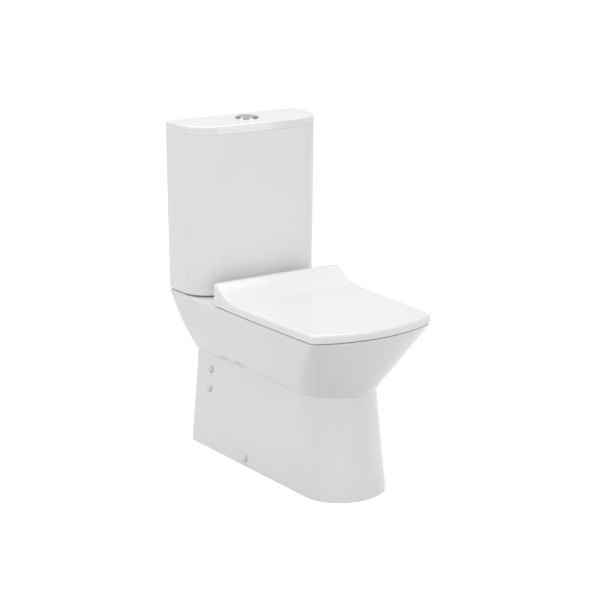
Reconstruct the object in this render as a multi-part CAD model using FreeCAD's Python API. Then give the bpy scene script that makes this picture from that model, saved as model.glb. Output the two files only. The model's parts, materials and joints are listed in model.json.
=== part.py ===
import FreeCAD, Part
import math
import os
from dataclasses import dataclass, replace
from FreeCAD import Placement, Rotation, Vector

# A close coupled toilet that stands with its back to the wall: a hollow china pan on the floor,
# a china tank on the pan's deck, a seat ring and a wrap-over cover on one hinge, and the flushing
# and filling valves inside the tank. All lengths are millimetres.
# Frame: +X is to the right seen from the front, the front faces -Y, +Z is up. The origin is on
# the floor, midway between the wall plane and the front of the seat cover.
# Places along the room are given as a distance from the wall, which grows towards the front.

# ---- Driving dimensions -------------------------------------------------------------------

overall_depth = 652.0        # wall plane to the front of the seat cover
pan_height = 410.0           # floor to the rim
china_wall = 11.0            # thickness of the pan's outer walls
deck_thickness = 14.0        # flat top of the pan that carries tank and hinges
waist_height = 242.6         # crease between pedestal and bowl, at the wall
waist_rise = 0.0115          # the crease climbs by this much per millimetre towards the front
ledge = 3.0                  # how far the bowl stands out over the pedestal at the crease
ledge_round = 7.0
crease_overlap = 6.0         # the pedestal reaches this far up into the bowl
rim_round = 3.0
wall_cut = 2.0               # the pan's outlines start this far behind the wall and are cut flat at it

basin_wall = 9.0
basin_back = 292.0           # basin mouth: from here
basin_front = 606.0          # to here
basin_half = 126.0
sump_height = 150.0          # floor of the sump
trap_bore = 38.0             # inner radius of the trapway
spigot_radius = 51.0         # outer radius of the waste outlet
outlet_height = 180.0
outlet_setback = 20.0        # from the wall plane to the end of the spigot

tank_gap = 1.0               # between tank and wall
tank_pad = 3.5               # rubber pads between deck and tank
tank_body = 397.5            # height of the tank without its lid
tank_wall = 9.0
tank_floor = 12.0
tank_half_low = 185.5
tank_half_high = 188.0
tank_depth_low = 143.0       # from the wall plane
tank_depth_high = 152.5
lid_height = 22.0
lid_plate = 10.0
lid_lip = 8.0                # depth of the rib that keeps the lid on the tank
joint_round = 1.2

tank_back_round = 5.5
tank_base_round = 4.5
tank_inner_round = 8.0
lid_round = 5.0
lid_rim = 14.0               # width of the lid's bearing edge
lip_gap = 1.5                # between the lid's rib and the inside of the tank
lip_width = 5.0

valve_distance = 64.0        # flush valve and tank bolts, from the wall
tank_bolt_x = 80.0
recess_depth = 12.0          # round recess in the deck for the gasket
fill_x = 116.0
fill_distance = 66.0
fill_access = 24.0           # hole in the deck around the fill valve's tail
duct_half = 46.0             # flushing duct from the inlet to the basin
duct_height = 58.0

button_distance = 76.0
button_radius = 24.2
button_rise = 4.5            # top of the buttons above the lid
button_split = 3.0           # the line between the two buttons
button_gap = 0.8
bezel_width = 2.0            # how far the bezel stands out over the barrel
bezel_height = 2.6
barrel_wall = 2.0            # barrel of the button housing, through the lid
barrel_depth = 28.0          # below the top of the lid
barrel_floor = 3.0
button_nut_height = 10.0
button_nut_wall = 7.0
button_cap = 5.5             # thickness of the buttons
boss_height = 8.0
rod_radius = 3.0
spring_radius = 7.2
spring_wire = 0.8
spring_turns = 5

valve_seal = 3.0             # rubber between valve flange and tank floor
valve_flange = 5.0
tail_radius = 31.0           # threaded tail of the flush valve
tail_bore = 26.0
tail_length = 29.0           # below the underside of the tank
backnut_wall = 7.0
backnut_height = 10.0
seat_lip = 4.0
cage_radius = 35.0
cage_height = 160.0
cage_skin = 2.5
head_height = 24.0           # cap of the valve tower
head_half = 26.0
tube_radius = 9.0
tube_wall = 1.8
overflow_height = 236.0      # top of the overflow tube above the tank's inner floor
flush_seal = 4.5
flush_seal_radius = 31.0

shank_radius = 10.3          # fill valve tail, a half inch pipe thread
shank_step = 0.2             # the tail is this much thicker from its nut upwards
shank_bore = 6.5
shank_length = 40.0          # below the underside of the tank
riser_radius = 9.0
riser_height = 285.0         # top of the riser above the tank's inner floor
fill_head_radius = 14.0
fill_head_height = 26.0
fill_nut_radius = 17.0
fill_nut_height = 9.0
float_radius = 30.0
float_height = 70.0
float_place = 190.0          # underside of the float above the tank's inner floor, tank full
link_radius = 1.6
link_reach = 24.0            # float's rod, from the axis of the riser
arm_reach = 38.0             # from the arm's pin to the float's rod
arm_width = 8.0
arm_thickness = 9.0
arm_rise = 16.0              # arm's pin above the head

cover_bottom = 3.0           # cover's lower edge above the rim
cover_skin = 4.5
cover_thickness = 20.0
cover_back = 199.0           # back edge of the cover, from the wall
ridge_height = 53.0          # raised back edge of the cover, above its lower edge
ridge_width = 20.0
sweep_length = 96.0          # hollow sweep from the ridge down to the flat part
cover_round = 7.0
cover_back_round = 14.0
ring_thickness = 10.5
ring_lift = 6.0              # ring's lower face above the rim
ring_inset = 2.0             # between the ring and the inside of the cover
ring_back = 256.0
ring_hole_back = 304.0
ring_hole_front = 588.0
ring_hole_half = 113.0
ring_round = 3.5

hinge_spacing = 155.0        # between the two hinge bolts
hinge_distance = 212.0       # hinge axis from the wall
hinge_rise = 31.0            # hinge axis above the rim
post_width = 16.0
ear_width = 8.0
side_gap = 1.0               # between hinge pieces side by side
knuckle_radius = 9.0
pin_radius = 4.0
running_gap = 0.05           # radial clearance of every running fit
bolt_radius = 4.0
bolt_gap = 0.3               # radial clearance of bolts and nuts
bolt_play = 1.5              # radial play of the tank bolts in the tank floor
tail_play = 1.5              # of the flush valve's tail in the tank floor
inlet_play = 2.0             # of the same tail in the deck below the recess
recess_play = 7.0            # between the valve's nut and the wall of its recess, for the gasket
shank_play = 0.5             # of the fill valve's tail in the tank floor

floor_bracket_length = 38.0
wall_bracket_length = 28.0
bracket_thickness = 8.0
bracket_hole = 4.0
cap_radius = 10.5
cap_height = 9.0
cap_skin = 1.2
screw_radius = 2.5
screw_places = [(68.0, 204.4), (66.0, 153.8), (240.0, 21.4)]     # from the wall, and height

# ---- Dependent dimensions -----------------------------------------------------------------

wall_y = overall_depth / 2
deck_under = pan_height - deck_thickness
tank_bottom = pan_height + tank_pad
tank_inside = tank_bottom + tank_floor
tank_top = tank_bottom + tank_body
lid_top = tank_top + lid_height
tank_bolt_hole = bolt_radius + bolt_play
flush_bore = tail_radius + tail_play
inlet_bore = tail_radius + inlet_play
backnut_radius = tail_radius + backnut_wall
recess_radius = backnut_radius + recess_play
shank_thick = shank_radius + shank_step
fill_bore = shank_thick + shank_play
barrel_outer = button_radius + button_gap + barrel_wall
bezel_radius = barrel_outer + bezel_width
button_nut_radius = barrel_outer + button_nut_wall
cover_low = pan_height + cover_bottom
cover_high = cover_low + cover_thickness
ring_low = pan_height + ring_lift
ring_high = ring_low + ring_thickness
hinge_z = pan_height + hinge_rise
hinge_bolt_top = hinge_z - knuckle_radius - 4.0
post_x = hinge_spacing / 2
arm_inner = post_x + post_width / 2 + side_gap
ear_outer = arm_inner + ear_width + side_gap
button_top = lid_top + button_rise
cap_low = button_top - button_cap
barrel_low = lid_top - barrel_depth
spring_seat = barrel_low + barrel_floor
seal_top = tank_inside + valve_seal
valve_seat = seal_top + valve_flange + seat_lip
cage_top = seal_top + valve_flange + cage_height
rod_low = cage_top + head_height - 6.0
backnut_low = tank_bottom - backnut_height
fill_head = tank_inside + riser_height
float_low = tank_inside + float_place
arm_z = fill_head + fill_head_height + arm_rise
link_x = fill_x - link_reach
arm_x = link_x + arm_reach


# ---- Plan outlines ------------------------------------------------------------------------

@dataclass
class Plan:
    """Outline seen from above, the same on both sides: a gently bowed side, a round corner and a
    bowed front on each side. With back_round it closes in round corners, else in a square back."""
    half_back: float         # half width at the back
    half_ref: float          # half width at ref, where the front corner begins
    ref: float
    front: float             # furthest point from the wall
    corner: float            # radius of the front corners
    bow: float               # radius of the front
    back: float = 0.0
    back_round: float = 0.0
    side_bow: float = 1.0    # how far the side stands out from a straight line

    def grown(self, by):
        """The outline moved outwards by this much, or inwards where it is negative."""
        closed = self.back_round > 0
        return replace(
            self, half_back=self.half_back + by, half_ref=self.half_ref + by,
            front=self.front + by, corner=self.corner + by, bow=self.bow + by,
            back=self.back - by if closed else self.back,
            back_round=max(self.back_round + by, 2.0) if closed else 0.0)

    def blend(self, other, share):
        """The outline this share of the way to another."""
        mix = {name: getattr(self, name) * (1 - share) + getattr(other, name) * share
               for name in self.__dataclass_fields__}
        return Plan(**mix)


def at(x, distance, z):
    return Vector(x, wall_y - distance, z)


def towards(start, end, length):
    """The point this far from start on the line to end, in plan."""
    dx, dy = end[0] - start[0], end[1] - start[1]
    size = math.hypot(dx, dy)
    return start[0] + dx / size * length, start[1] + dy / size * length


def middle_of_arc(centre, radius, first, second):
    middle = ((first[0] + second[0]) / 2, (first[1] + second[1]) / 2)
    return towards(centre, middle, radius)


def corner_centre(side_centre, side_radius, bow_centre, plan):
    """Centre of the corner circle that touches the side's circle and the front's circle."""
    reach = side_radius - plan.corner
    span = abs(plan.bow - plan.corner)
    dx, dy = bow_centre[0] - side_centre[0], bow_centre[1] - side_centre[1]
    apart = math.hypot(dx, dy)
    along = (reach ** 2 - span ** 2 + apart ** 2) / (2 * apart)
    across = math.sqrt(reach ** 2 - along ** 2)
    side = 1 if plan.corner < plan.bow else -1
    return (side_centre[0] + (dx * along - side * dy * across) / apart,
            side_centre[1] + (dy * along + side * dx * across) / apart)


def outline(plan, z, rise=0.0):
    """The closed wire of a plan at height z, in a plane that may rise towards the front."""
    start, end = (plan.half_back, plan.back), (plan.half_ref, plan.ref)
    chord = math.hypot(end[0] - start[0], end[1] - start[1])
    side_radius = (chord ** 2 / 4 + plan.side_bow ** 2) / (2 * plan.side_bow)
    inward = ((start[1] - end[1]) / chord, (end[0] - start[0]) / chord)
    reach = side_radius - plan.side_bow
    side_centre = ((start[0] + end[0]) / 2 + inward[0] * reach,
                   (start[1] + end[1]) / 2 + inward[1] * reach)
    bow_centre = (0.0, plan.front - plan.bow)
    centre = corner_centre(side_centre, side_radius, bow_centre, plan)
    side_end = towards(side_centre, centre, side_radius)
    facing = plan.bow if plan.corner < plan.bow else -plan.bow
    bow_end = towards(bow_centre, centre, facing)
    points = []
    if plan.back_round:
        back_z = plan.back + plan.back_round - side_centre[1]
        back_x = math.sqrt((side_radius - plan.back_round) ** 2 - back_z ** 2)
        back_centre = (side_centre[0] + back_x, plan.back + plan.back_round)
        back_end = (back_centre[0], plan.back)
        start = towards(side_centre, back_centre, side_radius)
        points.append((back_end, middle_of_arc(back_centre, plan.back_round, back_end, start), start))
    points.append((start, middle_of_arc(side_centre, side_radius, start, side_end), side_end))
    points.append((side_end, middle_of_arc(centre, plan.corner, side_end, bow_end), bow_end))

    def lifted(point, side=1):
        return at(side * point[0], point[1], z + rise * point[1])

    edges = [Part.Arc(*[lifted(p) for p in arc]).toShape() for arc in points]
    front = (0.0, plan.front)
    edges.append(Part.Arc(lifted(bow_end), lifted(front), lifted(bow_end, -1)).toShape())
    edges += [Part.Arc(*[lifted(p, -1) for p in arc[::-1]]).toShape() for arc in points[::-1]]
    first = points[0][0]
    edges.append(Part.LineSegment(lifted(first, -1), lifted(first)).toShape())
    return Part.Wire(edges)


def loft(sections, ruled=False):
    """Solid through plans, each given as (plan, height) or (plan, height, rise)."""
    return Part.makeLoft([outline(*section) for section in sections], True, ruled)


def prism(plan, low, high):
    return Part.Face(outline(plan, low)).extrude(Vector(0, 0, high - low))


# ---- Simple solids ------------------------------------------------------------------------

def block(x0, x1, d0, d1, z0, z1):
    return Part.makeBox(x1 - x0, d1 - d0, z1 - z0, at(x0, d1, z0))


def rod(x, distance, z0, z1, radius):
    return Part.makeCylinder(radius, z1 - z0, at(x, distance, z0))


def tube(x, distance, z0, z1, inner, outer):
    return rod(x, distance, z0, z1, outer).cut(rod(x, distance, z0 - 1, z1 + 1, inner))


def cross_rod(x0, x1, distance, z, radius):
    return Part.makeCylinder(radius, x1 - x0, at(x0, distance, z), Vector(1, 0, 0))


def side_plate(x0, x1, corners):
    """Plate across X with corners given as (distance from the wall, height)."""
    loop = [at(x0, d, z) for d, z in corners + corners[:1]]
    return Part.Face(Part.makePolygon(loop)).extrude(Vector(x1 - x0, 0, 0))


def mirrored(shape):
    return shape.mirror(Vector(0, 0, 0), Vector(1, 0, 0))


def both_sides(shapes):
    """One group of separate solids: each given one and its mirror image."""
    return Part.makeCompound([s for shape in shapes for s in (shape, mirrored(shape))])


def joined(shapes):
    return shapes[0].multiFuse(shapes[1:]).removeSplitter()


def wing_nut(x, distance, low, thickness, bore, hub, reach):
    """Round hub with two flat wings along X."""
    wings = block(x - reach, x + reach, distance - 2, distance + 2, low, low + thickness - 2)
    body = joined([rod(x, distance, low, low + thickness, hub), wings])
    return body.cut(rod(x, distance, low - 1, low + thickness + 1, bore))


def rounded_path(corners, radii):
    """Straight runs joined by tangent arcs; corners are (distance, height) at x = 0."""
    points = [at(0, d, z) for d, z in corners]
    edges, last = [], points[0]
    for before, corner, after, radius in zip(points, points[1:], points[2:], radii):
        come, leave = (before - corner).normalize(), (after - corner).normalize()
        half = come.getAngle(leave) / 2
        reach = radius / math.tan(half)
        enter, leave_at = corner + come * reach, corner + leave * reach
        inside = (come + leave).normalize()
        top = corner + inside * (radius / math.sin(half) - radius)
        edges += [Part.LineSegment(last, enter).toShape(), Part.Arc(enter, top, leave_at).toShape()]
        last = leave_at
    edges.append(Part.LineSegment(last, points[-1]).toShape())
    return Part.Wire(edges)


def pipe(path, radius):
    """Round solid along a path that starts level or sloping in the plane x = 0."""
    first = path.Edges[0]
    start = first.valueAt(first.FirstParameter)
    circle = Part.makeCircle(radius, start, first.tangentAt(first.FirstParameter))
    return path.makePipeShell([Part.Wire(circle)], True, True)


# ---- Pan ----------------------------------------------------------------------------------

floor_plan = Plan(half_back=126.4, half_ref=108.4, ref=450.0, front=588.8, corner=92.0,
                  bow=116.0, back=-wall_cut, side_bow=0.5)
waist_plan = Plan(half_back=105.9, half_ref=103.2, ref=450.0, front=568.4, corner=122.0,
                  bow=66.0, back=-wall_cut, side_bow=0.5)
rim_plan = Plan(half_back=183.0, half_ref=168.8, ref=570.0, front=overall_depth - 0.5, corner=18.0,
                bow=352.0, back=-wall_cut, side_bow=3.2)
side_swell = [(0.0, 0.0), (0.36, 0.435), (0.72, 0.78), (1.0, 1.0)]     # share of height, of width


def skirt_half(distance, z):
    """Half width of the pedestal's outer face at a place on its side."""
    share = z / (waist_height + crease_overlap + waist_rise * distance)
    back = floor_plan.half_back + (waist_plan.half_back - ledge - floor_plan.half_back) * share
    ref = floor_plan.half_ref + (waist_plan.half_ref - ledge - floor_plan.half_ref) * share
    along = (distance + wall_cut) / (floor_plan.ref + wall_cut)
    return back + (ref - back) * along + floor_plan.side_bow * 4 * along * (1 - along)


def on_side(shape, distance, z):
    """A shape built along +Z at the origin, set square on the pedestal's outer face."""
    step = 1.0
    slope_d = skirt_half(distance + step, z) - skirt_half(distance, z)
    slope_z = skirt_half(distance, z + step) - skirt_half(distance, z)
    normal = Vector(1, slope_d, -slope_z)
    place = Placement(at(skirt_half(distance, z), distance, z), Rotation(Vector(0, 0, 1), normal))
    turned = shape.copy()
    turned.Placement = place
    return turned


def screw_hole(distance, z, gap):
    """Cutter for one side screw, square to the pedestal's outer face."""
    return on_side(Part.makeCylinder(screw_radius + gap, 40.0, Vector(0, 0, -32.0)), distance, z)


def pedestal(inset, low, high_extra):
    top = waist_plan.grown(-ledge - inset)
    return loft([(floor_plan.grown(-inset), low), (top, waist_height + high_extra, waist_rise)], True)


def bowl_body(inset, top_z):
    """Flaring bowl from the crease to the rim. Its front rises straight and its sides swell."""
    sections = []
    for height_share, width_share in side_swell:
        plan = waist_plan.blend(rim_plan, height_share)
        sides = waist_plan.blend(rim_plan, width_share)
        plan = replace(plan, half_back=sides.half_back, half_ref=sides.half_ref)
        z = waist_height + (top_z - waist_height) * height_share
        sections.append((plan.grown(-inset), z, waist_rise * (1 - height_share)))
    return loft(sections)


def basin_sections(grow):
    """The basin's inside, or its outside where grow is the wall: a mouth that narrows to a sump."""
    mouth = Plan(half_back=basin_half, half_ref=basin_half - 8, ref=520.0, front=basin_front,
                 corner=62.0, bow=250.0, back=basin_back, back_round=70.0, side_bow=3.0)
    sump = Plan(half_back=58.0, half_ref=52.0, ref=400.0, front=466.0, corner=46.0, bow=60.0,
                back=basin_back + 38, back_round=46.0, side_bow=1.5)
    narrowing = [(0.0, pan_height + 1), (0.0, pan_height - 32), (0.2, pan_height - 70),
                 (0.45, pan_height - 120), (0.74, sump_height + 90), (1.0, sump_height + 40)]
    sections = [(mouth.blend(sump, share).grown(grow), z) for share, z in narrowing]
    return sections + [(sump.grown(grow - 6.0), sump_height - grow)]


def trap_path(start_back, end):
    corners = [(400.0 + start_back, sump_height + trap_bore - 4.0), (330.0, sump_height + 4.0),
               (250.0, 238.0), (182.0, outlet_height), (end, outlet_height)]
    return rounded_path(corners, [46.0, 46.0, 62.0])


def make_pan():
    bowl = bowl_body(0.0, pan_height)
    low_edges = [e for e in bowl.Edges if e.BoundBox.ZMax < waist_height + 8 and e.BoundBox.YMax < wall_y - 1]
    bowl = bowl.makeFillet(ledge_round, low_edges)
    rim_edges = [e for e in bowl.Edges if e.BoundBox.ZMin > pan_height - 0.01 and e.BoundBox.YMin < wall_y - 1]
    bowl = bowl.makeFillet(rim_round, rim_edges)
    outside = bowl.fuse(pedestal(0.0, 0.0, crease_overlap))
    hollow = pedestal(china_wall, 0.0, 1.0).fuse(bowl_body(china_wall, deck_under))
    basin_outer = loft(basin_sections(basin_wall))
    basin_inner = loft(basin_sections(0.0))
    trap_outer = pipe(trap_path(0.0, outlet_setback), spigot_radius)
    trap_inner = pipe(trap_path(0.0, outlet_setback - 5), trap_bore)
    inlet_boss = rod(0, valve_distance, deck_under - 12, deck_under + 1, recess_radius + 8)
    duct_floor = deck_under + 4 - duct_height
    duct = block(-duct_half, duct_half, valve_distance - 42, basin_back + 6, duct_floor, deck_under + 1)
    shell = outside.cut(hollow)
    inside = basin_outer.multiFuse([trap_outer, inlet_boss, duct]).common(outside)
    china = shell.fuse(inside)
    channel = block(-duct_half + 8, duct_half - 8, valve_distance - 34, basin_back + 14,
                    duct_floor + 8, deck_under - 12)
    water_ways = [
        basin_inner, trap_inner, channel,
        rod(0, valve_distance, pan_height - recess_depth, pan_height + 1, recess_radius),
        rod(0, valve_distance, deck_under - 16, pan_height + 1, inlet_bore),
        rod(fill_x, fill_distance, deck_under - 1, pan_height + 1, fill_access)]
    for side in (-1, 1):
        water_ways.append(rod(side * tank_bolt_x, valve_distance, deck_under - 1, pan_height + 1,
                              tank_bolt_hole))
        water_ways.append(rod(side * post_x, hinge_distance, deck_under - 1, pan_height + 1, 7.0))
    holes = both_sides([screw_hole(distance, z, 0.6) for distance, z in screw_places]).Solids
    half = rim_plan.half_back + 20
    wall_side = block(-half, half, -wall_cut - 10, 0, -1, pan_height + 1)
    for cutter in water_ways + holes + [wall_side]:
        china = china.cut(cutter)
    return china.removeSplitter()


# ---- Tank and lid -------------------------------------------------------------------------

tank_low_plan = Plan(half_back=tank_half_low, half_ref=tank_half_low, ref=50.0,
                     front=tank_depth_low, corner=74.0, bow=2187.0, back=tank_gap,
                     back_round=tank_back_round, side_bow=0.3)
tank_high_plan = replace(tank_low_plan, half_back=tank_half_high, half_ref=tank_half_high,
                         front=tank_depth_high, corner=80.0)


def tank_plan(z):
    return tank_low_plan.blend(tank_high_plan, (z - tank_bottom) / (tank_top - tank_bottom))


def tank_inner_plan(z):
    """Inside of the tank wall, with rounder corners at the back."""
    return replace(tank_plan(z).grown(-tank_wall), back_round=tank_inner_round + 4)


def edges_at(shape, z):
    return [e for e in shape.Edges if e.BoundBox.ZMin > z - 0.01 and e.BoundBox.ZMax < z + 0.01]


def make_tank():
    body = loft([(tank_low_plan, tank_bottom), (tank_high_plan, tank_top)], True)
    body = body.makeFillet(tank_base_round, edges_at(body, tank_bottom))
    body = body.makeFillet(joint_round, edges_at(body, tank_top))
    inside = loft([(tank_inner_plan(z), z) for z in (tank_inside, tank_top + 1)], True)
    inside = inside.makeFillet(tank_inner_round, edges_at(inside, tank_inside))
    body = body.cut(inside)
    holes = [(0, valve_distance, flush_bore), (fill_x, fill_distance, fill_bore)]
    holes += [(side * tank_bolt_x, valve_distance, tank_bolt_hole) for side in (-1, 1)]
    for x, distance, radius in holes:
        body = body.cut(rod(x, distance, tank_bottom - 1, tank_inside + 1, radius))
    return body


def make_tank_lid():
    plan = tank_high_plan
    body = prism(plan, tank_top, lid_top)
    body = body.makeFillet(lid_round, edges_at(body, lid_top))
    body = body.makeFillet(joint_round, edges_at(body, tank_top))
    body = body.cut(prism(plan.grown(-lid_rim), tank_top - 1, lid_top - lid_plate))
    lip = tank_inner_plan(tank_top).grown(-lip_gap)
    rib = prism(lip, tank_top - lid_lip, lid_top - lid_plate + 1)
    rib = rib.cut(prism(lip.grown(-lip_width), tank_top - lid_lip - 1, lid_top - lid_plate + 2))
    hole = rod(0, button_distance, tank_top, lid_top + 1, barrel_outer + bolt_gap)
    return joined([body, rib]).cut(hole)


# ---- Flush buttons ------------------------------------------------------------------------

stems = {"large": button_split - 14.0, "small": button_split + 11.0}


def make_button_housing():
    """Chrome bezel with a barrel through the lid, and a floor that carries the springs."""
    inner = button_radius + button_gap
    bezel = tube(0, button_distance, lid_top, lid_top + bezel_height, inner, bezel_radius)
    bezel = bezel.makeFillet(0.9, edges_at(bezel, lid_top + bezel_height))
    barrel = tube(0, button_distance, barrel_low, lid_top, inner, barrel_outer)
    floor = rod(0, button_distance, barrel_low, spring_seat, barrel_outer)
    for x in stems.values():
        floor = floor.cut(rod(x, button_distance, barrel_low - 1, spring_seat + 1, rod_radius + bolt_gap))
    return joined([bezel, barrel, floor])


def make_button_nut():
    """Large plastic nut under the lid, with grip notches round its edge."""
    high = lid_top - lid_plate
    low = high - button_nut_height
    nut = rod(0, button_distance, low, high, button_nut_radius)
    for step in range(12):
        angle = math.radians(30 * step)
        nut = nut.cut(rod(button_nut_radius * math.cos(angle),
                          button_distance + button_nut_radius * math.sin(angle), low - 1, high + 1, 2.5))
    return nut.cut(rod(0, button_distance, low - 1, high + 1, barrel_outer + 0.1))


def make_button(name):
    """One half of the round push button, with a socket for its push rod."""
    disc = rod(0, button_distance, cap_low, button_top, button_radius)
    disc = disc.makeFillet(1.2, edges_at(disc, button_top))
    reach = button_radius + 1
    x0, x1 = {"large": (-reach, button_split - button_gap / 2),
              "small": (button_split + button_gap / 2, reach)}[name]
    cap = disc.common(block(x0, x1, button_distance - reach, button_distance + reach,
                            cap_low - 1, button_top + 1))
    boss = rod(stems[name], button_distance, cap_low - boss_height, cap_low, rod_radius + 2.0)
    socket = rod(stems[name], button_distance, cap_low - boss_height - 1, cap_low,
                 rod_radius + running_gap)
    return joined([cap, boss]).cut(socket)


def make_push_rod(name):
    return rod(stems[name], button_distance, rod_low, cap_low, rod_radius)


def make_button_spring(name):
    """Coil between the housing's floor and the button."""
    low, height = spring_seat + spring_wire, cap_low - spring_seat - 2 * spring_wire
    pitch = height / spring_turns
    helix = Part.makeHelix(pitch, height, spring_radius)
    along = Vector(0, 2 * math.pi * spring_radius, pitch)
    section = Part.Wire(Part.makeCircle(spring_wire, Vector(spring_radius, 0, 0), along))
    coil = Part.Wire(helix.Edges).makePipeShell([section], True, True)
    return coil.translated(at(stems[name], button_distance, low))


# ---- Flush valve --------------------------------------------------------------------------

def make_valve_base():
    """Seat and threaded tail that pass through the tank floor."""
    flange_top = seal_top + valve_flange
    flange = tube(0, valve_distance, seal_top, flange_top, tail_bore, flush_bore + 7)
    tail = tube(0, valve_distance, tank_bottom - tail_length, flange_top, tail_bore, tail_radius)
    seat = tube(0, valve_distance, flange_top, valve_seat, tail_bore, tail_bore + 2.5)
    return joined([flange, tail, seat])


def make_valve_base_seal():
    return tube(0, valve_distance, tank_inside, seal_top, tail_radius + 0.3, flush_bore + 8)


def make_valve_cage():
    """Open tower on the seat flange. Water enters through two rows of windows."""
    low = seal_top + valve_flange
    cage = tube(0, valve_distance, low, cage_top, cage_radius - cage_skin, cage_radius)
    row = (cage_height - 30) / 2
    for start in (low + 8, low + 20 + row):
        for angle in (0, 60, 120):
            window = Part.makeBox(4 * cage_radius, 22, row)
            window.translate(Vector(-2 * cage_radius, -11, 0))
            window.rotate(Vector(0, 0, 0), Vector(0, 0, 1), angle)
            cage = cage.cut(window.translated(at(0, valve_distance, start)))
    return cage


def make_valve_head():
    """Cap of the tower, with the guides of the overflow tube and of the two push rods."""
    top = cage_top + head_height
    head = rod(0, valve_distance, cage_top, cage_top + 6, cage_radius)
    guide = block(-head_half, head_half, valve_distance - 16, button_distance + 9, cage_top, top)
    upright = [e for e in guide.Edges if e.BoundBox.ZLength > head_height - 1]
    guide = guide.makeFillet(6.0, upright)
    head = joined([head, guide])
    head = head.cut(rod(0, valve_distance, cage_top - 1, top + 1, tube_radius + bolt_gap))
    for x in stems.values():
        head = head.cut(rod(x, button_distance, cage_top + 6, top + 1, rod_radius + bolt_gap))
    return head


def make_overflow_tube():
    """Moving tube with the disc that carries the flush seal."""
    low = valve_seat + flush_seal
    top = tank_inside + overflow_height
    stem = rod(0, valve_distance, valve_seat, top, tube_radius)
    disc = rod(0, valve_distance, low, low + 4, flush_seal_radius - 1)
    collar = rod(0, valve_distance, valve_seat - 3, valve_seat, tube_radius + 5)
    body = joined([stem, disc, collar])
    return body.cut(rod(0, valve_distance, valve_seat - 4, top + 1, tube_radius - tube_wall))


def make_flush_seal():
    return tube(0, valve_distance, valve_seat, valve_seat + flush_seal, tube_radius, flush_seal_radius)


# ---- Fill valve ---------------------------------------------------------------------------

def level_rod(x, d0, d1, z, radius):
    """Round bar from distance d1 back to d0."""
    return Part.makeCylinder(radius, d1 - d0, at(x, d1, z), Vector(0, 1, 0))


def make_fill_body():
    shank_low = tank_bottom - shank_length
    shank = rod(fill_x, fill_distance, shank_low, tank_bottom - fill_nut_height, shank_radius)
    neck = rod(fill_x, fill_distance, tank_bottom - fill_nut_height, seal_top, shank_thick)
    flange = rod(fill_x, fill_distance, seal_top, seal_top + 6, fill_bore + 6)
    riser = rod(fill_x, fill_distance, seal_top + 6, fill_head, riser_radius)
    body = joined([shank, neck, flange, riser])
    return body.cut(rod(fill_x, fill_distance, shank_low - 1, fill_head - 6, shank_bore))


def make_fill_washer():
    return tube(fill_x, fill_distance, tank_inside, seal_top, shank_thick + 0.1, fill_bore + 6)


def make_fill_nut():
    """Six-sided nut under the tank."""
    low = tank_bottom - fill_nut_height
    corners = [Vector(fill_nut_radius * math.cos(math.radians(60 * k)),
                      fill_nut_radius * math.sin(math.radians(60 * k)), 0) for k in range(7)]
    nut = Part.Face(Part.makePolygon(corners)).extrude(Vector(0, 0, fill_nut_height))
    nut = nut.translated(at(fill_x, fill_distance, low))
    return nut.cut(rod(fill_x, fill_distance, low - 1, tank_bottom + 1, shank_thick + 0.1))


def make_fill_head():
    """Diaphragm housing on the riser, with two ears and the pin of the float arm."""
    top = fill_head + fill_head_height
    cup = rod(fill_x, fill_distance, fill_head, top, fill_head_radius)
    inner, outer = arm_width / 2 + side_gap, arm_width / 2 + side_gap + 3
    ears = [block(arm_x - 5, arm_x + 5, fill_distance + low, fill_distance + high, top - 6, arm_z + 6)
            for low, high in ((-outer, -inner), (inner, outer))]
    pin = level_rod(arm_x, fill_distance - outer, fill_distance + outer, arm_z, 2.0)
    return joined([cup] + ears + [pin])


def make_float_arm():
    """Lever from the head's pin to the float's rod, with a slot that lets it tilt."""
    half = arm_width / 2
    low, high = arm_z - arm_thickness / 2, arm_z + arm_thickness / 2
    arm = block(link_x - 8, arm_x + 4.5, fill_distance - half, fill_distance + half, low, high)
    arm = arm.cut(level_rod(arm_x, fill_distance - half - 1, fill_distance + half + 1, arm_z,
                            2.0 + running_gap))
    slot = block(link_x - 5.5, link_x + 6.5, fill_distance - 2.3, fill_distance + 2.3, low - 1, high + 1)
    return arm.cut(slot)


def make_fill_float():
    """Cup float, open below, that slides on the riser."""
    top = float_low + float_height
    cup = tube(fill_x, fill_distance, float_low, top, riser_radius + 1.0, float_radius)
    cup = cup.makeFillet(3.0, [e for e in edges_at(cup, top) if e.BoundBox.XLength > float_radius])
    hollow = tube(fill_x, fill_distance, float_low - 1, top - 3, riser_radius + 3.5, float_radius - 2.5)
    return cup.cut(hollow)


def make_float_link():
    """Threaded rod on the float, with a stop above the arm."""
    top = arm_z + arm_thickness / 2 + 8
    link = rod(link_x, fill_distance, float_low + float_height, top, link_radius)
    return joined([link, rod(link_x, fill_distance, top - 4, top, 4.0)])


# ---- Seals and fasteners between tank and pan ---------------------------------------------

def make_tank_gasket():
    """Soft ring round the valve's nut, seated in the deck's recess."""
    low = pan_height - recess_depth
    ring = tube(0, valve_distance, low, tank_bottom, tail_radius + 0.3, recess_radius - 0.3)
    return ring.cut(rod(0, valve_distance, backnut_low - 0.3, tank_bottom + 1, backnut_radius + 0.3))


def make_valve_backnut():
    return tube(0, valve_distance, backnut_low, tank_bottom, tail_radius + 0.1, backnut_radius)


def make_tank_bolts():
    """Two bolts whose heads press their seals on the tank's inner floor."""
    low = tank_inside + 4.0
    head = rod(tank_bolt_x, valve_distance, low, low + 5.0, 8.0)
    shank = rod(tank_bolt_x, valve_distance, deck_under - 26, low, bolt_radius)
    return both_sides([joined([head, shank])])


def washers(x, distance, low, thickness, bore, radius):
    return both_sides([tube(x, distance, low, low + thickness, bore, radius)])


# ---- Seat ring, cover and hinge -----------------------------------------------------------

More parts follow.
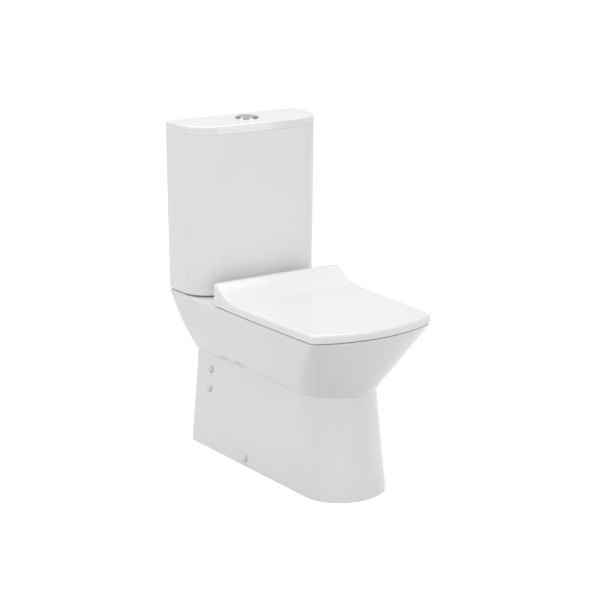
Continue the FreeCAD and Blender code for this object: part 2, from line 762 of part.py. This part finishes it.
cover_plan = Plan(half_back=179.6, half_ref=168.8, ref=570.0, front=overall_depth, corner=18.0,
                  bow=352.5, back=cover_back, back_round=cover_back_round, side_bow=2.0)
pad_places = [(148.0, 372.0), (74.0, 623.0)]      # rubber pads: half spacing, and from the wall


def cover_profile(inset):
    """Side view of the cover, or of its hollow underside where inset is the skin."""
    low = cover_low - (1.0 if inset else 0.0)
    top, flat = cover_low + ridge_height - inset, cover_high - inset
    back, ridge_front = cover_back + inset, cover_back + ridge_width
    sweep_end, front = ridge_front + sweep_length, overall_depth + 10
    drop = top - flat
    radius = (sweep_length ** 2 + drop ** 2) / (2 * drop)
    turn = math.asin(sweep_length / radius) / 2
    middle = at(0, sweep_end - radius * math.sin(turn), flat + radius * (1 - math.cos(turn)))
    corners = [at(0, back, low), at(0, back, top), at(0, ridge_front, top), at(0, sweep_end, flat),
               at(0, front, flat), at(0, front, low)]
    edges = [Part.LineSegment(corners[0], corners[1]).toShape(),
             Part.LineSegment(corners[1], corners[2]).toShape(),
             Part.Arc(corners[2], middle, corners[3]).toShape()]
    edges += [Part.LineSegment(corners[k], corners[(k + 1) % 6]).toShape() for k in (3, 4, 5)]
    face = Part.Face(Part.Wire(edges))
    half = cover_plan.half_back + 20
    return face.translated(Vector(-half, 0, 0)).extrude(Vector(2 * half, 0, 0))


def make_seat_cover():
    """Cover whose edge wraps over the ring, with a raised back that hides the hinge."""
    body = prism(cover_plan, cover_low, cover_low + ridge_height + 5).common(cover_profile(0.0))
    top_edges = [e for e in body.Edges if e.BoundBox.ZMin > cover_low + 1]
    rim = [e for e in top_edges if e.BoundBox.XLength < 2 * cover_plan.half_back - 1
           or e.BoundBox.YMin < wall_y - overall_depth + 60 or e.BoundBox.YMin > wall_y - cover_back - 1]
    body = body.makeFillet(cover_round, rim)
    hollow = prism(cover_plan.grown(-cover_skin), cover_low - 1, cover_low + ridge_height)
    body = body.cut(hollow.common(cover_profile(cover_skin)))
    pieces = [body]
    ear_top = cover_low + ridge_height - cover_skin + 1
    for x0 in (post_x - post_width / 2 - side_gap - ear_width, ear_outer):
        for side in (-1, 1):
            low, high = sorted((side * x0, side * (x0 + ear_width)))
            plate = side_plate(low, high, [(hinge_distance - knuckle_radius, ear_top),
                                           (hinge_distance + knuckle_radius, ear_top - 3),
                                           (hinge_distance + knuckle_radius, hinge_z),
                                           (hinge_distance - knuckle_radius, hinge_z)])
            pieces.append(joined([plate, cross_rod(low, high, hinge_distance, hinge_z, knuckle_radius)]))
    notch_in = post_x - post_width / 2 - 2 * side_gap - ear_width
    notch_out = ear_outer + ear_width + side_gap
    for side in (-1, 1):
        low, high = sorted((side * notch_in, side * notch_out))
        pieces[0] = pieces[0].cut(block(low, high, cover_back - 1, cover_back + cover_skin + 1,
                                        cover_low - 1, hinge_z + knuckle_radius + 5))
    cover = joined(pieces)
    for side in (-1, 1):
        low, high = sorted((side * (notch_in - 1), side * (notch_out + 1)))
        cover = cover.cut(cross_rod(low, high, hinge_distance, hinge_z, pin_radius + running_gap))
    return cover


def make_seat_ring():
    """Oval ring with two arms back to the hinge."""
    plan = replace(cover_plan.grown(-cover_skin - ring_inset), back=ring_back, back_round=14.0)
    ring = prism(plan, ring_low, ring_high)
    ring = ring.makeFillet(ring_round, edges_at(ring, ring_high))
    hole = Plan(half_back=ring_hole_half, half_ref=ring_hole_half - 6, ref=500.0,
                front=ring_hole_front, corner=78.0, bow=190.0, back=ring_hole_back,
                back_round=66.0, side_bow=4.0)
    ring = ring.cut(prism(hole, ring_low - 1, ring_high + 1))
    inner = [e for e in edges_at(ring, ring_high) if e.BoundBox.XLength < 2 * ring_hole_half + 1
             and abs(e.BoundBox.Center.x) < ring_hole_half + 1
             and e.BoundBox.YMin > wall_y - ring_hole_front - 1
             and e.BoundBox.YMax < wall_y - ring_hole_back + 1]
    ring = ring.makeFillet(ring_round, inner)
    pieces = [ring]
    for side in (-1, 1):
        low, high = sorted((side * arm_inner, side * (arm_inner + ear_width)))
        plate = side_plate(low, high, [
            (hinge_distance, hinge_z + knuckle_radius), (ring_back + 12, ring_high - 0.5),
            (ring_back + 12, ring_low), (ring_back - 4, ring_low),
            (hinge_distance - knuckle_radius * 0.7, hinge_z - knuckle_radius * 0.7)])
        pieces.append(joined([plate, cross_rod(low, high, hinge_distance, hinge_z, knuckle_radius)]))
    ring = joined(pieces)
    for side in (-1, 1):
        low, high = sorted((side * (arm_inner - 1), side * (arm_inner + ear_width + 1)))
        ring = ring.cut(cross_rod(low, high, hinge_distance, hinge_z, pin_radius + running_gap))
    return ring


def make_pads(low, high, radius):
    return both_sides([rod(x, distance, low, high, radius) for x, distance in pad_places])


def make_hinge_posts():
    """Chromed posts on the pan, bored for the hinge pin and for the bolt from below."""
    half = post_width / 2
    foot = rod(post_x, hinge_distance, pan_height, pan_height + 3.0, 13.0)
    stem = block(post_x - half, post_x + half, hinge_distance - knuckle_radius,
                 hinge_distance + knuckle_radius, pan_height, hinge_z)
    eye = cross_rod(post_x - half, post_x + half, hinge_distance, hinge_z, knuckle_radius)
    post = joined([foot, stem, eye])
    post = post.cut(cross_rod(post_x - half - 1, post_x + half + 1, hinge_distance, hinge_z,
                              pin_radius + running_gap))
    post = post.cut(rod(post_x, hinge_distance, pan_height - 1, hinge_bolt_top, bolt_radius + 0.1))
    return both_sides([post])


def make_hinge_pins():
    inner = post_x - post_width / 2 - side_gap - ear_width
    return both_sides([cross_rod(inner, ear_outer + ear_width, hinge_distance, hinge_z, pin_radius)])


def make_hinge_bolts():
    return both_sides([rod(post_x, hinge_distance, deck_under - 34, hinge_bolt_top, bolt_radius)])


def make_hinge_washers():
    """Rubber cones that centre the bolts in the deck's larger holes."""
    disc = rod(post_x, hinge_distance, deck_under - 5, deck_under, 13.0)
    cone = Part.makeCone(6.8, 5.4, 8.0, at(post_x, hinge_distance, deck_under))
    body = joined([disc, cone])
    return both_sides([body.cut(rod(post_x, hinge_distance, deck_under - 6, pan_height, bolt_radius + 0.1))])


def make_hinge_nuts():
    return both_sides([wing_nut(post_x, hinge_distance, deck_under - 17, 12.0, bolt_radius + 0.1, 8.0, 16.0)])


# ---- Brackets, screws and caps in the pan's sides -----------------------------------------

def dome(radius, height, low):
    """Round cap of a sphere, from its flat face at low."""
    sphere_radius = (radius ** 2 + height ** 2) / (2 * height)
    ball = Part.makeSphere(sphere_radius, Vector(0, 0, low + height - sphere_radius))
    return ball.common(Part.makeCylinder(radius + 1, height + 1, Vector(0, 0, low)))


def make_screw_caps():
    """Thin domes over the screw heads."""
    cap = dome(cap_radius, cap_height, 0.3).cut(dome(cap_radius - cap_skin, cap_height - cap_skin, 0.3))
    return both_sides([on_side(cap, *place) for place in screw_places])


def make_screw_washers():
    ring = Part.makeCylinder(6.3, 0.6, Vector(0, 0, 0.3))
    ring = ring.cut(Part.makeCylinder(screw_radius + 0.1, 3, Vector(0, 0, -1)))
    return both_sides([on_side(ring, *place) for place in screw_places])


def make_side_screws():
    head = Part.makeCylinder(3.8, 1.2, Vector(0, 0, 0.95))
    shank = Part.makeCylinder(screw_radius, 24.0, Vector(0, 0, -23.0))
    screw = head.fuse(shank)
    return both_sides([on_side(screw, *place) for place in screw_places])


def side_lining(x0, x1, d0, d1, z0, z1):
    """The part of this block that lies within a bracket's thickness of the pedestal's inner face."""
    face = china_wall + 0.3
    lining = pedestal(face, 0.0, -1.0).cut(pedestal(face + bracket_thickness, 0.0, -1.0))
    return lining.common(block(x0, x1, d0, d1, z0, z1))


def make_floor_brackets():
    """Angle pieces on the floor; the pan's lower side screws hold the pan to them."""
    distance, z = screw_places[2]
    outer = skirt_half(distance, z)
    start, stop = distance - 20, distance + 20
    inner = outer - china_wall - floor_bracket_length
    foot = block(inner, outer, start, stop, 0, bracket_thickness)
    foot = foot.common(pedestal(china_wall + 0.3, 0.0, -1.0))
    bracket = joined([foot, side_lining(inner, outer, start, stop, 0, 2 * z)])
    bracket = bracket.cut(rod(inner + 13, distance, -1, bracket_thickness + 1, bracket_hole))
    return both_sides([bracket.cut(screw_hole(distance, z, 0.1))])


def make_wall_brackets():
    """Angle pieces on the wall; the pan's upper side screws hold the pan to them."""
    high, low = screw_places[0][1] + 17, screw_places[1][1] - 17
    outer = skirt_half(0, low)
    inner = skirt_half(0, high) - china_wall - wall_bracket_length
    flange = block(inner, outer, 0, bracket_thickness - 2, low, high)
    flange = flange.common(pedestal(china_wall + 0.3, 0.0, -1.0))
    bracket = joined([flange, side_lining(inner, outer, 0, screw_places[0][0] + 14, low, high)])
    for distance, z in screw_places[:2]:
        bracket = bracket.cut(screw_hole(distance, z, 0.1))
        bracket = bracket.cut(level_rod(inner + 13, -1, bracket_thickness, z, bracket_hole))
    return both_sides([bracket])


# ---- Assembly -----------------------------------------------------------------------------

def make_parts():
    """Every piece of the toilet, by the name of its file."""
    pads_low, pads_high = pan_height, ring_low
    parts = {
        "pan": make_pan(),
        "tank": make_tank(),
        "tank_lid": make_tank_lid(),
        "button_housing": make_button_housing(),
        "button_nut": make_button_nut(),
        "valve_base": make_valve_base(),
        "valve_base_seal": make_valve_base_seal(),
        "valve_backnut": make_valve_backnut(),
        "valve_cage": make_valve_cage(),
        "valve_head": make_valve_head(),
        "overflow_tube": make_overflow_tube(),
        "flush_seal": make_flush_seal(),
        "fill_valve_body": make_fill_body(),
        "fill_valve_washer": make_fill_washer(),
        "fill_valve_nut": make_fill_nut(),
        "fill_valve_head": make_fill_head(),
        "fill_float": make_fill_float(),
        "float_rod": make_float_link(),
        "float_arm": make_float_arm(),
        "tank_gasket": make_tank_gasket(),
        "tank_bolts": make_tank_bolts(),
        "tank_bolt_seals": washers(tank_bolt_x, valve_distance, tank_inside, 4.0, bolt_radius + 0.1, 11.0),
        "tank_pads": washers(tank_bolt_x, valve_distance, pan_height, tank_pad, tank_bolt_hole, 14.0),
        "tank_bolt_washers": washers(tank_bolt_x, valve_distance, deck_under - 2, 2.0,
                                     bolt_radius + bolt_gap, 12.0),
        "tank_wing_nuts": both_sides([wing_nut(tank_bolt_x, valve_distance, deck_under - 14, 12.0,
                                               bolt_radius + 0.1, 8.0, 17.0)]),
        "seat_ring": make_seat_ring(),
        "ring_pads": make_pads(pads_low, pads_high, 9.0),
        "seat_cover": make_seat_cover(),
        "cover_pads": make_pads(ring_high, cover_high - cover_skin, 7.0),
        "hinge_posts": make_hinge_posts(),
        "hinge_pins": make_hinge_pins(),
        "hinge_bolts": make_hinge_bolts(),
        "hinge_washers": make_hinge_washers(),
        "hinge_nuts": make_hinge_nuts(),
        "screw_caps": make_screw_caps(),
        "screw_washers": make_screw_washers(),
        "side_screws": make_side_screws(),
        "floor_brackets": make_floor_brackets(),
        "wall_brackets": make_wall_brackets(),
    }
    for name in stems:
        parts[name + "_button"] = make_button(name)
        parts[name + "_push_rod"] = make_push_rod(name)
        parts[name + "_button_spring"] = make_button_spring(name)
    return parts


os.makedirs("parts", exist_ok=True)
for name, shape in make_parts().items():
    shape.exportStep(f"parts/{name}.step")
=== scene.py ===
import json
import math

import bpy
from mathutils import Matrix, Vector

# The looks of a close coupled toilet: glazed china pan and tank, a gloss seat and cover, a chrome
# double button, and the plastic, rubber, zinc and brass pieces inside and under it. Lengths are
# metres. The front faces -Y, the wall is behind it at +Y.

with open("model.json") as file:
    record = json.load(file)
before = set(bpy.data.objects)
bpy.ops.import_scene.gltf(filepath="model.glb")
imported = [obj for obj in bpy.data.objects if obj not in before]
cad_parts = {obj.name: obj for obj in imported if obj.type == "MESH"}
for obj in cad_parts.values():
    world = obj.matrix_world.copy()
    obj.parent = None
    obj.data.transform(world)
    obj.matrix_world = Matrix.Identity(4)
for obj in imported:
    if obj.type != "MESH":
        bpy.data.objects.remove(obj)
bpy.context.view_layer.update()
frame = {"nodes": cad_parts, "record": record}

CAMERA_PLACE = (-2.19553, -3.28442, 1.49996)
CAMERA_TURN = math.radians(-33.8228)      # about the vertical, from looking along +Y
CAMERA_DIP = math.radians(14.9734)        # below the horizontal
CAMERA_LENS = 102.5
CAMERA_SHIFT = (-0.0088, -0.0117)

FLOOR_SIZE = 60.0
FLOOR_TONE = 0.5           # what the floor throws back on the object
FLOOR_GLOW = 0.84           # what lifts the floor to white where it is seen
AMBIENT = 0.66              # the world's light on the object
SEEN_WORLD = 1.0            # the world where it is seen: white

# Each softbox: name, place, what it faces, width and height, watts.
SOFTBOXES = [
    ("top_softbox", (0.0, 0.1, 3.0), (0.0, 0.0, 0.5), (3.0, 3.0), 45.0),
    ("left_softbox", (-3.2, 0.2, 1.4), (0.0, 0.0, 0.5), (2.0, 2.0), 34.0),
    ("front_softbox", (1.2, -4.0, 1.0), (0.0, 0.0, 0.4), (3.0, 2.0), 50.0),
]

# Noise scales of the finishes, in waves per metre.
GLAZE_POOLS = 7.0
GLAZE_WAVES = 11.0
GLAZE_DULL = 24.0
GLAZE_SKIN = 260.0
GLAZE_PINHOLES = 420.0
MOULD_CLOUDS = 22.0
MOULD_RUBBED = 55.0
METAL_PATCHES = 60.0
METAL_PITS = 700.0
METAL_STREAKS = 1400.0

SKIN_SHARE = 0.03           # height of the glaze's fine skin beside its slow waves
PINHOLE_SHARE = 0.25        # how strongly a pinhole shows
PINHOLE_COLOUR = (0.42, 0.40, 0.37, 1)
STREAK_STRETCH = (1.0, 1.0, 0.06)

# Places of the colour sockets on a Mix node.
MIX_SHARE, MIX_FIRST, MIX_SECOND, MIX_RESULT = 0, 6, 7, 2


# ---- Helpers for nodes ---------------------------------------------------------------------

def new_material(name):
    """An empty material with its shader and output joined."""
    material = bpy.data.materials.new(name)
    material.use_nodes = True
    tree = material.node_tree
    tree.nodes.clear()
    output = tree.nodes.new("ShaderNodeOutputMaterial")
    shader = tree.nodes.new("ShaderNodeBsdfPrincipled")
    tree.links.new(shader.outputs["BSDF"], output.inputs["Surface"])
    return material, tree, shader


def new_group(name, inputs, outputs):
    """A shader node group. Inputs are (name, socket type, value), outputs are (name, socket type)."""
    group = bpy.data.node_groups.new(name, "ShaderNodeTree")
    for label, kind, value in inputs:
        socket = group.interface.new_socket(label, in_out="INPUT", socket_type=kind)
        socket.default_value = value
    for label, kind in outputs:
        group.interface.new_socket(label, in_out="OUTPUT", socket_type=kind)
    entry = group.nodes.new("NodeGroupInput")
    leave = group.nodes.new("NodeGroupOutput")
    return group, entry, leave


def feed(tree, socket, value):
    """Joins a socket to another one, or sets it to a constant."""
    if isinstance(value, bpy.types.NodeSocket):
        tree.links.new(value, socket)
    else:
        socket.default_value = value


def object_place(tree):
    """The socket that gives a point's place on the object."""
    return tree.nodes.new("ShaderNodeTexCoord").outputs["Object"]


def stretched(tree, place, scale):
    """The place, scaled differently along each axis."""
    mapping = tree.nodes.new("ShaderNodeMapping")
    mapping.inputs["Scale"].default_value = scale
    tree.links.new(place, mapping.inputs["Vector"])
    return mapping.outputs["Vector"]


def noise(tree, place, scale, detail=2.0, roughness=0.5):
    node = tree.nodes.new("ShaderNodeTexNoise")
    feed(tree, node.inputs["Scale"], scale)
    node.inputs["Detail"].default_value = detail
    node.inputs["Roughness"].default_value = roughness
    tree.links.new(place, node.inputs["Vector"])
    return node.outputs["Fac"]


def ranged(tree, value, low, high, to_low=0.0, to_high=1.0):
    """The value, moved from one range to another and held inside it."""
    node = tree.nodes.new("ShaderNodeMapRange")
    for label, number in (("Value", value), ("From Min", low), ("From Max", high),
                          ("To Min", to_low), ("To Max", to_high)):
        feed(tree, node.inputs[label], number)
    return node.outputs["Result"]


def sums(tree, operation, first, second):
    """Two values through one operation of a Math node."""
    node = tree.nodes.new("ShaderNodeMath")
    node.operation = operation
    feed(tree, node.inputs[0], first)
    feed(tree, node.inputs[1], second)
    return node.outputs["Value"]


def mixed(tree, share, first, second):
    """A colour between two colours."""
    node = tree.nodes.new("ShaderNodeMix")
    node.data_type = "RGBA"
    for index, value in ((MIX_SHARE, share), (MIX_FIRST, first), (MIX_SECOND, second)):
        feed(tree, node.inputs[index], value)
    return node.outputs[MIX_RESULT]


def raised(tree, height, distance):
    """A normal bumped by a height."""
    node = tree.nodes.new("ShaderNodeBump")
    node.inputs["Strength"].default_value = 1.0
    feed(tree, node.inputs["Distance"], distance)
    feed(tree, node.inputs["Height"], height)
    return node.outputs["Normal"]


def placed_group(tree, group, values):
    """A node of the group with these inputs set."""
    node = tree.nodes.new("ShaderNodeGroup")
    node.node_tree = group
    for label, value in values.items():
        node.inputs[label].default_value = value
    return node


# ---- Finishes that several materials share -------------------------------------------------

def make_glaze_group():
    """Fired glaze: it pools a little thicker in places, ripples slowly and carries pinholes."""
    group, entry, leave = new_group(
        "fired_glaze",
        [("Colour", "NodeSocketColor", (0.8, 0.8, 0.8, 1)),
         ("Pooled Colour", "NodeSocketColor", (0.78, 0.79, 0.79, 1)),
         ("Ripple", "NodeSocketFloat", 0.0002),
         ("Roughness", "NodeSocketFloat", 0.08),
         ("Dull Roughness", "NodeSocketFloat", 0.14)],
        [("Colour", "NodeSocketColor"), ("Roughness", "NodeSocketFloat"), ("Normal", "NodeSocketVector")])
    place = object_place(group)
    pools = ranged(group, noise(group, place, GLAZE_POOLS, 3.0), 0.35, 0.7)
    colour = mixed(group, pools, entry.outputs["Colour"], entry.outputs["Pooled Colour"])
    pinholes = ranged(group, noise(group, place, GLAZE_PINHOLES, 1.0), 0.76, 0.82)
    specked = mixed(group, sums(group, "MULTIPLY", pinholes, PINHOLE_SHARE), colour,
                   PINHOLE_COLOUR)
    dull = ranged(group, noise(group, place, GLAZE_DULL, 4.0), 0.4, 0.75,
                  entry.outputs["Roughness"], entry.outputs["Dull Roughness"])
    slow = noise(group, place, GLAZE_WAVES, 2.0)
    skin = noise(group, place, GLAZE_SKIN, 2.0)
    height = sums(group, "ADD", slow, sums(group, "MULTIPLY", skin, SKIN_SHARE))
    normal = raised(group, height, entry.outputs["Ripple"])
    links = group.links
    links.new(specked, leave.inputs["Colour"])
    links.new(dull, leave.inputs["Roughness"])
    links.new(normal, leave.inputs["Normal"])
    return group


def make_moulding_group():
    """Moulded plastic or rubber: faint flow clouds, a fine grain and rubbed patches."""
    group, entry, leave = new_group(
        "moulded_skin",
        [("Colour", "NodeSocketColor", (0.8, 0.8, 0.8, 1)),
         ("Cloud Colour", "NodeSocketColor", (0.75, 0.75, 0.75, 1)),
         ("Grain Scale", "NodeSocketFloat", 900.0),
         ("Grain", "NodeSocketFloat", 0.00004),
         ("Roughness", "NodeSocketFloat", 0.35),
         ("Rubbed Roughness", "NodeSocketFloat", 0.5)],
        [("Colour", "NodeSocketColor"), ("Roughness", "NodeSocketFloat"), ("Normal", "NodeSocketVector")])
    place = object_place(group)
    clouds = ranged(group, noise(group, place, MOULD_CLOUDS, 4.0, 0.6), 0.35, 0.7)
    colour = mixed(group, clouds, entry.outputs["Colour"], entry.outputs["Cloud Colour"])
    rubbed = ranged(group, noise(group, place, MOULD_RUBBED, 5.0, 0.65), 0.42, 0.7,
                    entry.outputs["Roughness"], entry.outputs["Rubbed Roughness"])
    grain = noise(group, place, entry.outputs["Grain Scale"], 3.0)
    normal = raised(group, grain, entry.outputs["Grain"])
    links = group.links
    links.new(colour, leave.inputs["Colour"])
    links.new(rubbed, leave.inputs["Roughness"])
    links.new(normal, leave.inputs["Normal"])
    return group


def make_plating_group():
    """Plated or turned metal: fine drawn streaks, dulled patches and small pits."""
    group, entry, leave = new_group(
        "plated_metal",
        [("Colour", "NodeSocketColor", (0.8, 0.8, 0.8, 1)),
         ("Dull Colour", "NodeSocketColor", (0.6, 0.6, 0.6, 1)),
         ("Streaks", "NodeSocketFloat", 0.00002),
         ("Roughness", "NodeSocketFloat", 0.1),
         ("Dull Roughness", "NodeSocketFloat", 0.25)],
        [("Colour", "NodeSocketColor"), ("Roughness", "NodeSocketFloat"), ("Normal", "NodeSocketVector")])
    place = object_place(group)
    patches = ranged(group, noise(group, place, METAL_PATCHES, 5.0, 0.6), 0.38, 0.72)
    colour = mixed(group, patches, entry.outputs["Colour"], entry.outputs["Dull Colour"])
    dull = ranged(group, patches, 0.0, 1.0,
                  entry.outputs["Roughness"], entry.outputs["Dull Roughness"])
    drawn = noise(group, stretched(group, place, STREAK_STRETCH), METAL_STREAKS, 2.0)
    pits = ranged(group, noise(group, place, METAL_PITS, 1.0), 0.7, 0.8)
    height = sums(group, "SUBTRACT", drawn, pits)
    normal = raised(group, height, entry.outputs["Streaks"])
    links = group.links
    links.new(colour, leave.inputs["Colour"])
    links.new(dull, leave.inputs["Roughness"])
    links.new(normal, leave.inputs["Normal"])
    return group


GLAZE = make_glaze_group()
MOULDING = make_moulding_group()
PLATING = make_plating_group()


def finished(name, group, values, **sockets):
    """A material whose colour, roughness and normal come from a finish group."""
    material, tree, shader = new_material(name)
    surface = placed_group(tree, group, values)
    tree.links.new(surface.outputs["Colour"], shader.inputs["Base Color"])
    tree.links.new(surface.outputs["Roughness"], shader.inputs["Roughness"])
    tree.links.new(surface.outputs["Normal"], shader.inputs["Normal"])
    for label, value in sockets.items():
        shader.inputs[label.replace("_", " ")].default_value = value
    return material


# ---- Materials -----------------------------------------------------------------------------

def make_glazed_china():
    return finished("glazed_china", GLAZE, {
        "Colour": (0.80, 0.80, 0.80, 1), "Pooled Colour": (0.79, 0.793, 0.79, 1),
        "Ripple": 0.00012, "Roughness": 0.07, "Dull Roughness": 0.10}, IOR=1.5)


def make_gloss_duroplast():
    return finished("gloss_duroplast", MOULDING, {
        "Colour": (0.82, 0.82, 0.82, 1), "Cloud Colour": (0.81, 0.812, 0.812, 1),
        "Grain Scale": 500.0, "Grain": 0.000004,
        "Roughness": 0.09, "Rubbed Roughness": 0.13}, IOR=1.5)


def make_button_chrome():
    return finished("button_chrome", PLATING, {
        "Colour": (0.42, 0.42, 0.43, 1), "Dull Colour": (0.36, 0.36, 0.37, 1),
        "Streaks": 0.000002, "Roughness": 0.05, "Dull Roughness": 0.11}, Metallic=1.0)


def make_white_polypropylene():
    return finished("white_polypropylene", MOULDING, {
        "Colour": (0.77, 0.77, 0.76, 1), "Cloud Colour": (0.74, 0.74, 0.73, 1)})


def make_grey_acetal():
    return finished("grey_acetal", MOULDING, {
        "Colour": (0.17, 0.19, 0.21, 1), "Cloud Colour": (0.15, 0.165, 0.185, 1)})


def make_blue_acetal():
    return finished("blue_acetal", MOULDING, {
        "Colour": (0.012, 0.065, 0.26, 1), "Cloud Colour": (0.010, 0.052, 0.22, 1)})


def make_seal_rubber():
    return finished("seal_rubber", MOULDING, {
        "Colour": (0.012, 0.012, 0.012, 1), "Cloud Colour": (0.02, 0.02, 0.021, 1),
        "Grain": 0.00008, "Roughness": 0.6, "Rubbed Roughness": 0.8})


def make_clear_rubber():
    return finished("clear_rubber_pad", MOULDING, {
        "Colour": (0.62, 0.62, 0.59, 1), "Cloud Colour": (0.57, 0.57, 0.54, 1),
        "Roughness": 0.3, "Rubbed Roughness": 0.42}, Subsurface_Weight=0.2)


def make_zinc_steel():
    return finished("zinc_steel", PLATING, {
        "Colour": (0.42, 0.43, 0.44, 1), "Dull Colour": (0.30, 0.31, 0.31, 1),
        "Streaks": 0.00001, "Roughness": 0.28, "Dull Roughness": 0.45}, Metallic=1.0)


def make_turned_brass():
    return finished("turned_brass", PLATING, {
        "Colour": (0.62, 0.42, 0.14, 1), "Dull Colour": (0.45, 0.28, 0.08, 1),
        "Streaks": 0.00001, "Roughness": 0.2, "Dull Roughness": 0.35}, Metallic=1.0)


SLOT_MATERIALS = {
    "china": make_glazed_china(),
    "duroplast": make_gloss_duroplast(),
    "chrome": make_button_chrome(),
    "white_plastic": make_white_polypropylene(),
    "grey_plastic": make_grey_acetal(),
    "blue_plastic": make_blue_acetal(),
    "rubber": make_seal_rubber(),
    "clear_rubber": make_clear_rubber(),
    "zinc_steel": make_zinc_steel(),
    "brass": make_turned_brass(),
}


def finish_cad_nodes():
    """Every CAD node takes the material of its slot in the record."""
    for subpart in frame["record"]["subparts"]:
        node = frame["nodes"][subpart["node"]]
        for place in node.material_slots:
            place.material = SLOT_MATERIALS[subpart["material_slot"]]


# ---- Floor, light and camera ---------------------------------------------------------------

def seen_rays(tree):
    """1 for rays that see the background: the camera's, and those mirrored or let through."""
    path = tree.nodes.new("ShaderNodeLightPath")
    seen = sums(tree, "MAXIMUM", path.outputs["Is Camera Ray"], path.outputs["Is Glossy Ray"])
    return sums(tree, "MAXIMUM", seen, path.outputs["Is Transmission Ray"])


def make_floor():
    """A pale plane that is white where it is seen and still takes the object's shadow."""
    bpy.ops.mesh.primitive_plane_add(size=FLOOR_SIZE)
    floor = bpy.context.object
    floor.name = "floor"
    material = bpy.data.materials.new("pale_floor")
    material.use_nodes = True
    tree = material.node_tree
    tree.nodes.clear()
    output = tree.nodes.new("ShaderNodeOutputMaterial")
    matt = tree.nodes.new("ShaderNodeBsdfDiffuse")
    matt.inputs["Color"].default_value = (FLOOR_TONE, FLOOR_TONE, FLOOR_TONE, 1)
    glow = tree.nodes.new("ShaderNodeEmission")
    tree.links.new(sums(tree, "MULTIPLY", seen_rays(tree), FLOOR_GLOW), glow.inputs["Strength"])
    both = tree.nodes.new("ShaderNodeAddShader")
    tree.links.new(matt.outputs["BSDF"], both.inputs[0])
    tree.links.new(glow.outputs["Emission"], both.inputs[1])
    tree.links.new(both.outputs["Shader"], output.inputs["Surface"])
    floor.data.materials.append(material)


def make_world():
    """Plain light from all round, white where it is seen."""
    world = bpy.data.worlds.new("studio")
    bpy.context.scene.world = world
    world.use_nodes = True
    tree = world.node_tree
    tree.nodes.clear()
    output = tree.nodes.new("ShaderNodeOutputWorld")
    background = tree.nodes.new("ShaderNodeBackground")
    strength = ranged(tree, seen_rays(tree), 0.0, 1.0, AMBIENT, SEEN_WORLD)
    tree.links.new(strength, background.inputs["Strength"])
    tree.links.new(background.outputs["Background"], output.inputs["Surface"])


def make_softbox(name, place, aim, size, power):
    """A rectangular lamp that faces a point."""
    lamp = bpy.data.lights.new(name, "AREA")
    lamp.shape = "RECTANGLE"
    lamp.size, lamp.size_y = size
    lamp.energy = power
    box = bpy.data.objects.new(name, lamp)
    bpy.context.scene.collection.objects.link(box)
    box.location = place
    box.rotation_euler = (Vector(aim) - Vector(place)).to_track_quat("-Z", "Y").to_euler()


def make_camera():
    lens = bpy.data.cameras.new("camera")
    lens.lens = CAMERA_LENS
    lens.shift_x, lens.shift_y = CAMERA_SHIFT
    camera = bpy.data.objects.new("camera", lens)
    bpy.context.scene.collection.objects.link(camera)
    camera.location = CAMERA_PLACE
    camera.rotation_euler = (math.pi / 2 - CAMERA_DIP, 0, CAMERA_TURN)
    bpy.context.scene.camera = camera


finish_cad_nodes()
make_floor()
make_world()
for softbox in SOFTBOXES:
    make_softbox(*softbox)
make_camera()
bpy.context.scene.view_settings.view_transform = "Standard"
